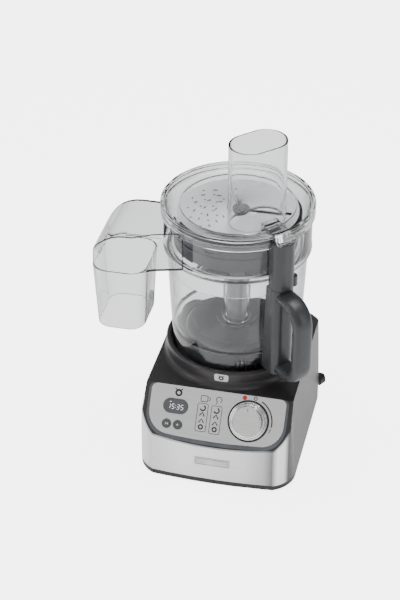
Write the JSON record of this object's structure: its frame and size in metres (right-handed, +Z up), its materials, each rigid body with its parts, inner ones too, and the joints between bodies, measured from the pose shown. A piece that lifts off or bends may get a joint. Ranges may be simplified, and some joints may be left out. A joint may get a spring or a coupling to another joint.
{
  "type": "food processor",
  "caption": "Food processor with a clear bowl, a slicing disc under a lid with a feed tube, a collar with a side chute and a motor base with a dial and display.",
  "frame": {"origin": "where the drive axis meets the table, on the resting face of the foot ring", "axes": "+Z up along the drive axis, -Y towards the control panel, +X to the right seen from the front"},
  "size_m": [0.3009, 0.2568, 0.465],
  "materials": {
    "rubber_foot": "matt",
    "black_plastic": "satin",
    "housing_charcoal": "satin",
    "brushed_steel": "brushed",
    "trim_grey": "satin",
    "display_smoke": "gloss",
    "electronics_dark": "matt",
    "circuit_board": "satin",
    "knob_chrome": "polished",
    "knob_satin": "satin",
    "button_grey": "satin",
    "label_silver": "satin",
    "hub_slate": "satin",
    "handle_grey": "satin",
    "steel": "plain",
    "cast_metal": "cast",
    "copper_winding": "lacquered",
    "belt_rubber": "matt",
    "clear_plastic": "polished clear",
    "shaft_grey": "satin"
  },
  "bodies": {
    "base": {"foot_ring": "rubber_foot", "base_pan": "black_plastic", "base_housing": "housing_charcoal", "front_wrap": "brushed_steel", "panel_trim": "trim_grey", "control_panel": "brushed_steel", "display_window": "display_smoke", "display_module": "electronics_dark", "control_board": "circuit_board", "rotary_encoder": "steel", "knob_ring": "black_plastic", "blank_plate": "label_silver", "weigh_tag": "label_silver", "hub_drum": "hub_slate", "hub_cap": "hub_slate", "interlock_block": "black_plastic", "chassis": "steel", "spindle_housing": "cast_metal", "lower_bearing": "steel", "upper_bearing": "steel", "drive_belt": "belt_rubber", "motor_can": "steel", "motor_stator": "steel", "power_board": "circuit_board", "load_cells": "cast_metal", "cord_inlet": "black_plastic", "pan_screws": "steel", "chassis_screws": "steel"},
    "spindle": {"drive_spindle": "steel", "drive_pulley": "black_plastic"},
    "motor": {"motor_armature": "copper_winding", "motor_pulley": "steel", "motor_fan": "black_plastic"},
    "knob": {"speed_knob": "knob_chrome", "knob_face": "knob_satin"},
    "left_button": {"button_left": "button_grey"},
    "right_button": {"button_right": "button_grey"},
    "bowl": {"bowl": "clear_plastic", "bowl_handle": "handle_grey", "handle_grip": "handle_grey"},
    "collar": {"collar": "clear_plastic", "collar_column": "handle_grey", "chute_hood": "clear_plastic"},
    "rotor": {"drive_shaft": "shaft_grey", "slinger_drum": "hub_slate", "slicing_disc": "brushed_steel", "disc_hub": "hub_slate"},
    "lid": {"lid": "clear_plastic", "feed_tube": "clear_plastic", "lid_tab": "clear_plastic"},
    "chute": {"chute_extension": "clear_plastic"}
  },
  "joints": [
    {"name": "bowl_lift", "type": "slide", "parent": "base", "child": "bowl", "axis": [0, 0, 1], "range_m": [0, 0.09]},
    {"name": "collar_lift", "type": "slide", "parent": "bowl", "child": "collar", "axis": [0, 0, 1], "range_m": [0, 0.14]},
    {"name": "lid_lift", "type": "slide", "parent": "collar", "child": "lid", "axis": [0, 0, 1], "range_m": [0, 0.06]},
    {"name": "chute_slide", "type": "slide", "parent": "collar", "child": "chute", "axis": [0, 0, -1], "range_m": [0, 0.045]},
    {"name": "rotor_spin", "type": "hinge", "parent": "collar", "child": "rotor", "pos_m": [0, 0, 0.3], "axis": [0, 0, 1], "continuous": true},
    {"name": "spindle_spin", "type": "hinge", "parent": "base", "child": "spindle", "pos_m": [0, 0, 0.1], "axis": [0, 0, 1], "continuous": true},
    {"name": "motor_spin", "type": "hinge", "parent": "base", "child": "motor", "pos_m": [0, -0.074, 0.05], "axis": [0, 0, 1], "continuous": true},
    {"name": "knob_turn", "type": "hinge", "parent": "base", "child": "knob", "pos_m": [0.0434, -0.125, 0.09725], "axis": [0, 0.8192, -0.5736], "range_deg": [-16, 105]},
    {"name": "left_button_press", "type": "slide", "parent": "base", "child": "left_button", "axis": [0, 0.8192, -0.5736], "range_m": [0, 0.0015], "stiffness_N_per_m": 300},
    {"name": "right_button_press", "type": "slide", "parent": "base", "child": "right_button", "axis": [0, 0.8192, -0.5736], "range_m": [0, 0.0015], "stiffness_N_per_m": 300}
  ],
  "couplings": [
    {"joint": "spindle_spin", "follows": "rotor_spin", "ratio": 1},
    {"joint": "motor_spin", "follows": "rotor_spin", "ratio": 5.7778}
  ]
}
